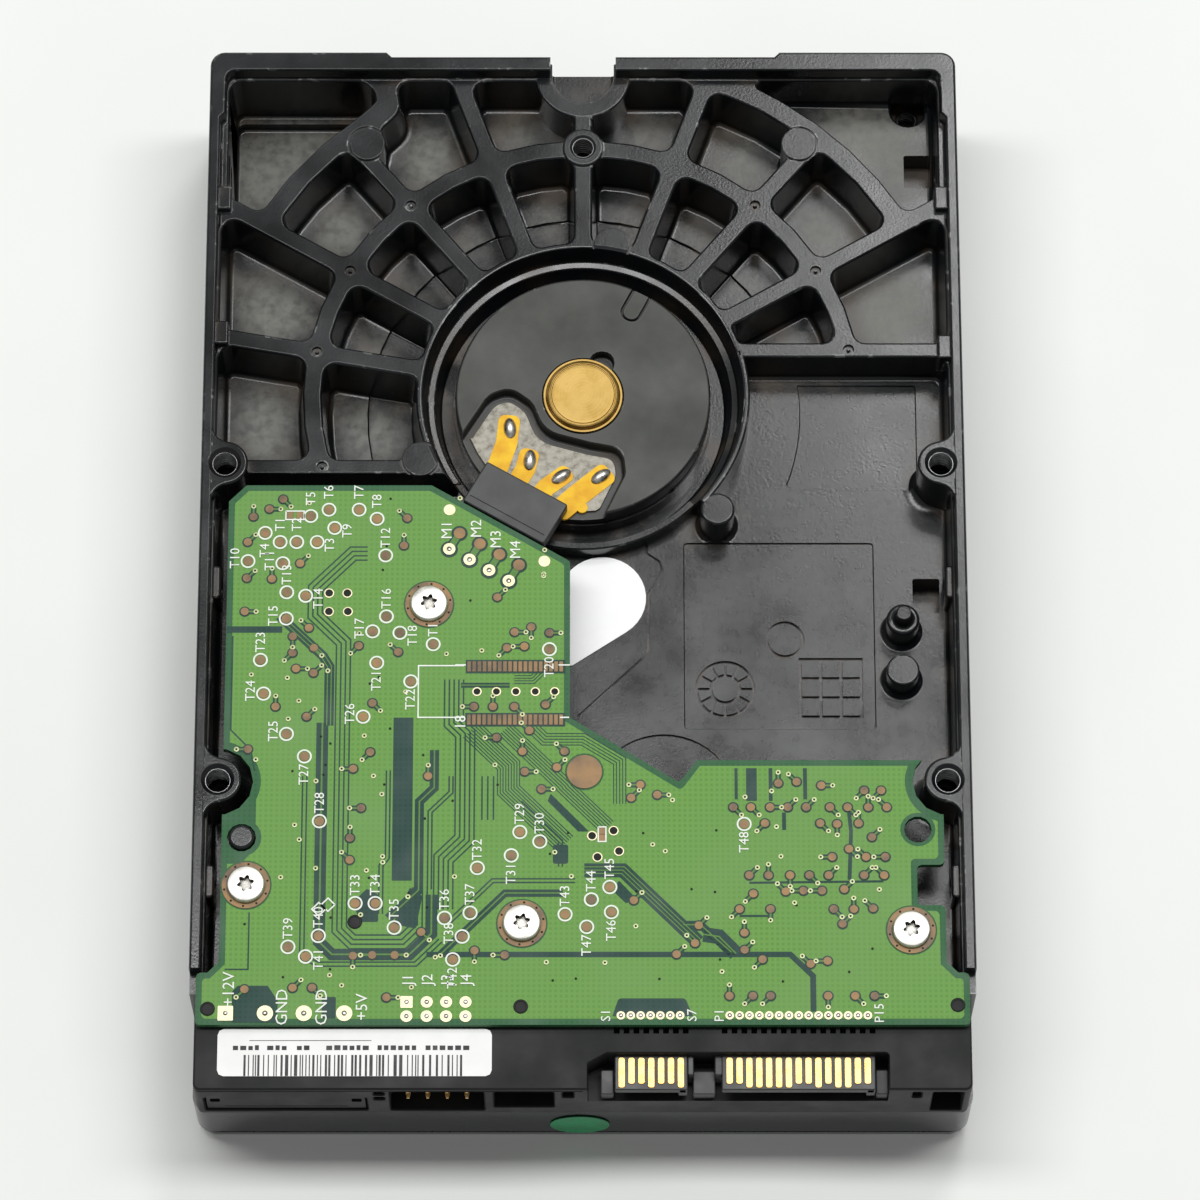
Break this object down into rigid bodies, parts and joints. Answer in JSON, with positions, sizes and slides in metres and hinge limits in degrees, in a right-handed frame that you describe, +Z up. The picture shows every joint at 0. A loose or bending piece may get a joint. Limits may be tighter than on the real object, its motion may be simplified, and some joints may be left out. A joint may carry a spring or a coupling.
{
  "type": "hard disk drive",
  "caption": "Bare 3.5-inch hard disk drive, board side up: ribbed black cast base, green circuit board, connector block, spindle motor, turning discs and a swinging head arm.",
  "frame": {"origin": "middle of the top cover's outer face, which the drive lies on", "axes": "+Y along the drive from the connector end to the far end, +X across, +Z up through the circuit-board side"},
  "size_m": [0.1016, 0.146, 0.0261],
  "materials": {
    "painted_casting": "black paint over die-cast aluminium",
    "plated_steel": "bright zinc plating",
    "cover_steel": "stamped sheet, satin",
    "rubber": "matt",
    "board_laminate": "green solder mask over glass laminate",
    "moulded_plastic": "fine moulded grain",
    "label_paper": "coated paper",
    "green_paper": "coated paper",
    "motor_plate": "dark coated aluminium",
    "brass": "turned",
    "polyimide": "orange film",
    "aluminium": "machined",
    "platter_film": "polished and sputtered",
    "copper": "enamelled copper wire",
    "magnet": "nickel plated",
    "epoxy": "moulded epoxy",
    "felt": "filter felt"
  },
  "bodies": {
    "drive_body": {"base_casting": "painted_casting", "top_cover": "cover_steel", "cover_gasket": "rubber", "cover_screw_1": "plated_steel", "cover_screw_2": "plated_steel", "cover_screw_3": "plated_steel", "cover_screw_4": "plated_steel", "cover_screw_5": "plated_steel", "cover_screw_6": "plated_steel", "circuit_board": "board_laminate", "board_screw_1": "plated_steel", "board_screw_2": "plated_steel", "board_screw_3": "plated_steel", "board_screw_4": "plated_steel", "controller_chip": "epoxy", "motor_driver_chip": "epoxy", "memory_chip": "epoxy", "flash_chip": "epoxy", "head_connector": "moulded_plastic", "interface_connector": "moulded_plastic", "bar_label": "label_paper", "seal_sticker": "label_paper", "dot_sticker": "green_paper", "motor_plate": "motor_plate", "bearing_cap": "brass", "motor_flex": "polyimide", "motor_connector": "moulded_plastic", "bearing_sleeve": "brass", "wound_stator": "copper", "lower_yoke": "plated_steel", "upper_yoke": "plated_steel", "lower_magnet": "magnet", "upper_magnet": "magnet", "yoke_post_1": "plated_steel", "yoke_post_2": "plated_steel", "crash_stop_1": "rubber", "crash_stop_2": "rubber", "pivot_post": "plated_steel", "breather_filter": "felt", "recirculation_filter": "felt"},
    "spindle": {"rotor_hub": "aluminium", "spindle_shaft": "plated_steel", "rotor_magnet": "magnet", "platter_1": "platter_film", "platter_spacer": "aluminium", "platter_2": "platter_film", "disk_clamp": "plated_steel", "clamp_screw": "plated_steel"},
    "head_arm": {"actuator_arm": "aluminium", "voice_coil": "copper", "pivot_sleeve": "plated_steel", "head_suspension_1": "plated_steel", "head_suspension_2": "plated_steel", "head_suspension_3": "plated_steel", "head_suspension_4": "plated_steel"}
  },
  "joints": [
    {"name": "spindle_spin", "type": "hinge", "parent": "drive_body", "child": "spindle", "pos_m": [0, 0.02343, 0.009], "axis": [0, 0, 1], "continuous": true},
    {"name": "head_swing", "type": "hinge", "parent": "drive_body", "child": "head_arm", "pos_m": [0.01069, -0.03185, 0.006], "axis": [0, 0, 1], "range_deg": [-28, 0]}
  ]
}
